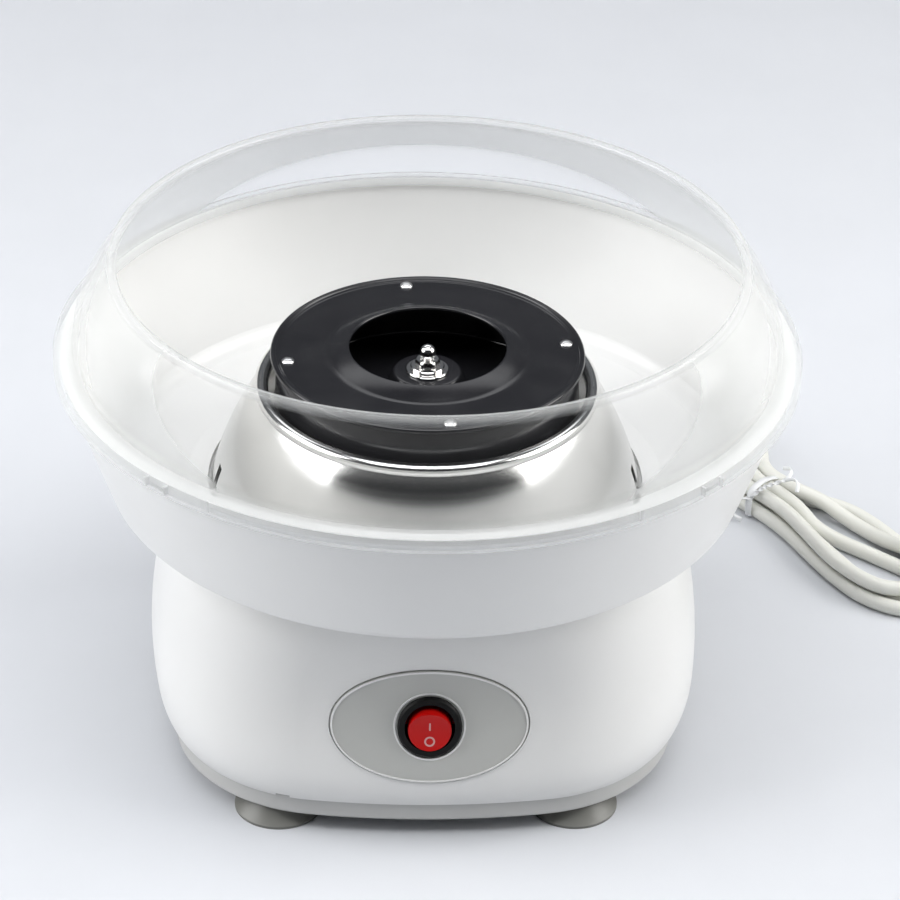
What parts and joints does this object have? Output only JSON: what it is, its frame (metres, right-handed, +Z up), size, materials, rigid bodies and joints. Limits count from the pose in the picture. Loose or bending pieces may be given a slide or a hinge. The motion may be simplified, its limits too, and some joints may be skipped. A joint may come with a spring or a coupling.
{
  "type": "cotton candy machine",
  "caption": "Tabletop sugar-floss spinner: rounded moulded base with rocker switch, lift-off round bowl, clear clip-on guard and a heated spinning head with a black enamelled pot.",
  "frame": {"origin": "on the surface the feet stand on, under the spin axis of the head", "axes": "+Z up along the spin axis; the front with the rocker switch faces -Y; +X is to the right of someone facing the front"},
  "size_m": [0.3559, 0.4329, 0.1867],
  "materials": {
    "white_plastic": "satin white moulded plastic",
    "zinc_steel": "zinc-plated steel",
    "grey_plastic": "matt light-grey moulded plastic",
    "component_black": "matt black",
    "brass": "bare brass",
    "ceramic": "unglazed off-white ceramic",
    "polished_aluminium": "polished spun aluminium",
    "copper": "enamelled copper",
    "panel_plastic": "fine-textured warm grey plastic",
    "natural_nylon": "natural off-white nylon",
    "white_cord": "satin white flexible sheath",
    "bright_steel": "bright plated steel",
    "foot_rubber": "translucent soft grey rubber",
    "satin_aluminium": "satin spun aluminium",
    "black_enamel": "glossy black heat-proof enamel",
    "heater_sheath": "annealed stainless sheath",
    "lead_sheath": "smooth coloured insulation",
    "bronze": "sintered bronze",
    "carbon": "dull carbon",
    "dark_steel": "oxide-dark steel",
    "ferrite": "dull dark ferrite",
    "board": "matt phenolic board",
    "red_plastic": "glossy red plastic",
    "clear_plastic": "clear, smooth transparent plastic",
    "black_plastic": "satin black plastic",
    "clear_tie": "milky plastic-coated wire"
  },
  "bodies": {
    "base": {"base_shell": "white_plastic", "board_screws": "zinc_steel", "bottom_plate": "grey_plastic", "bracket_grommets": "component_black", "bracket_screws": "zinc_steel", "brush_holders": "brass", "ceramic_bushes": "ceramic", "ceramic_holders": "ceramic", "chamber_skirt": "polished_aluminium", "clamp_screws": "zinc_steel", "control_panel": "panel_plastic", "cord_clamp": "natural_nylon", "cord_gland": "white_cord", "cord_hank": "white_cord", "cord_tail": "white_cord", "foot_front_left": "foot_rubber", "foot_front_right": "foot_rubber", "foot_rear_left": "foot_rubber", "foot_rear_right": "foot_rubber", "furnace_pan": "satin_aluminium", "furnace_screws": "zinc_steel", "heater_ring": "heater_sheath", "heater_trough": "satin_aluminium", "internal_leads": "lead_sheath", "motor_bearings": "bronze", "motor_bracket": "zinc_steel", "motor_brushes": "carbon", "motor_can": "zinc_steel", "motor_cap": "zinc_steel", "motor_magnets": "ferrite", "motor_screws": "zinc_steel", "plate_screws": "zinc_steel", "plug_body": "white_cord", "plug_lead": "white_cord", "plug_pins": "brass", "power_cord": "white_cord", "rectifier_board": "board", "rectifier_components": "component_black", "switch_body": "black_plastic", "switch_terminals": "brass", "terminal_block": "natural_nylon", "thermal_cutout": "dark_steel", "twist_tie": "clear_tie"},
    "spinner": {"drive_shaft": "bright_steel", "motor_core": "dark_steel", "motor_windings": "copper", "commutator": "copper", "cooling_fan": "natural_nylon", "drive_hub": "brass", "head_pot": "black_enamel", "head_top_plate": "black_enamel", "head_rivets": "satin_aluminium", "flat_washer": "bright_steel", "spring_washer": "bright_steel", "shaft_nut": "bright_steel"},
    "bowl": {"bowl": "white_plastic"},
    "guard": {"splash_guard": "clear_plastic"},
    "rocker": {"rocker": "red_plastic"}
  },
  "joints": [
    {"name": "head_spin", "type": "hinge", "parent": "base", "child": "spinner", "pos_m": [0, 0, 0.1], "axis": [0, 0, 1], "continuous": true},
    {"name": "bowl_lift", "type": "slide", "parent": "base", "child": "bowl", "axis": [0, 0, 1], "range_m": [0, 0.06]},
    {"name": "guard_lift", "type": "slide", "parent": "bowl", "child": "guard", "axis": [0, 0, 1], "range_m": [0, 0.04]},
    {"name": "rocker_tilt", "type": "hinge", "parent": "base", "child": "rocker", "pos_m": [0, -0.08799, 0.04641], "axis": [-1, 0, 0], "range_deg": [0, 16]}
  ]
}
